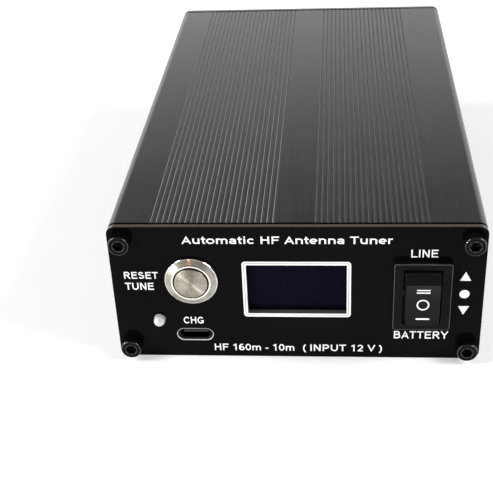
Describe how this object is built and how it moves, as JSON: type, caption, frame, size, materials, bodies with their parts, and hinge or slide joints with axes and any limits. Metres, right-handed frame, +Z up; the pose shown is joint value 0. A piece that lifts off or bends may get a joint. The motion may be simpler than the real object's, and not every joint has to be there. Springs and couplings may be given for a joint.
{
  "type": "antenna tuner",
  "caption": "Bench antenna tuner in a long black extruded case: push button, rocker switch, small display and charging port in front, coaxial sockets and power jack behind.",
  "frame": {"origin": "middle of the case's underside, halfway between the two panels' outer faces", "axes": "+X to the right seen from the front, +Y from the front panel to the rear panel, +Z up"},
  "size_m": [0.097, 0.1837, 0.041],
  "materials": {
    "shell": "satin black anodised",
    "panel": "gloss black lacquered laminate with white printing",
    "black_screw": "black oxide",
    "stainless": "turned and polished",
    "stainless_cap": "spun finish",
    "nickel_steel": "nickel plated",
    "spring_steel": "drawn wire",
    "seal_rubber": "moulded",
    "contact_brass": "gold-coloured plating",
    "black_nylon": "moulded",
    "white_nylon": "moulded",
    "switch_frame": "semi-gloss moulded",
    "switch_rocker": "semi-gloss moulded with white symbols",
    "display_glass": "dark display glass",
    "blue_board": "solder mask",
    "green_board": "solder mask",
    "foam_tape": "foam",
    "lamp_lens": "milky diffused lens",
    "port_steel": "nickel plated",
    "chip_plastic": "moulded epoxy",
    "cell_sleeve": "heat-shrink sleeve",
    "relay_case": "moulded",
    "red_core": "coated iron powder",
    "ferrite": "sintered",
    "copper_wire": "enamelled copper",
    "capacitor_coat": "dipped epoxy",
    "capacitor_sleeve": "sleeve",
    "socket_nickel": "satin nickel plated brass",
    "ptfe": "turned",
    "jack_plastic": "moulded",
    "signal_insulation": "silicone insulation",
    "power_insulation": "silicone insulation"
  },
  "bodies": {
    "case": {"lower_shell": "shell", "upper_shell": "shell", "front_panel": "panel", "rear_panel": "panel", "front_screws": "black_screw", "rear_screws": "black_screw", "button_housing": "stainless", "button_seal": "seal_rubber", "button_nut": "nickel_steel", "button_spring": "spring_steel", "button_base": "black_nylon", "button_pins": "contact_brass", "rocker_housing": "switch_frame", "rocker_pivot": "spring_steel", "rocker_terminals": "contact_brass", "display_glass": "display_glass", "display_board": "blue_board", "display_tape": "foam_tape", "display_header": "black_nylon", "charge_lamp": "lamp_lens", "lamp_leads": "nickel_steel", "port_shell": "port_steel", "port_tongue": "black_nylon", "charger_board": "green_board", "charger_parts": "chip_plastic", "charger_pad": "foam_tape", "battery_holder": "black_nylon", "battery_cells": "cell_sleeve", "battery_contacts": "nickel_steel", "main_board": "green_board", "relays": "relay_case", "toroid_cores": "red_core", "toroid_windings": "copper_wire", "air_coils": "copper_wire", "capacitors": "capacitor_coat", "bridge_cores": "ferrite", "bridge_windings": "copper_wire", "microcontroller": "chip_plastic", "electrolytics": "capacitor_sleeve", "voltage_regulator": "chip_plastic", "board_headers": "white_nylon", "antenna_socket": "socket_nickel", "input_socket": "socket_nickel", "socket_flanges": "socket_nickel", "socket_insulators": "ptfe", "socket_contacts": "contact_brass", "socket_screws": "nickel_steel", "socket_nuts": "nickel_steel", "rf_leads": "copper_wire", "power_jack": "jack_plastic", "jack_pin": "nickel_steel", "jack_nut": "nickel_steel", "signal_leads": "signal_insulation", "power_leads": "power_insulation"},
    "tune_button": {"button_cap": "stainless_cap", "button_bridge": "contact_brass"},
    "rocker": {"rocker_paddle": "switch_rocker", "rocker_plunger": "white_nylon", "rocker_spring": "spring_steel"},
    "contact_blade": {"rocker_blade": "contact_brass"}
  },
  "joints": [
    {"name": "button_press", "type": "slide", "parent": "case", "child": "tune_button", "axis": [0, 1, 0], "range_m": [0, 0.0012], "stiffness_N_per_m": 2200, "deforming": ["button_spring"]},
    {"name": "rocker_tilt", "type": "hinge", "parent": "case", "child": "rocker", "pos_m": [0.0326, -0.0806, 0.021], "axis": [1, 0, 0], "range_deg": [-12, 12]},
    {"name": "blade_tilt", "type": "hinge", "parent": "case", "child": "contact_blade", "pos_m": [0.0326, -0.07145, 0.021], "axis": [1, 0, 0], "range_deg": [-7.5, 7.5]}
  ],
  "couplings": [
    {"joint": "blade_tilt", "follows": "rocker_tilt", "ratio": -0.6}
  ]
}
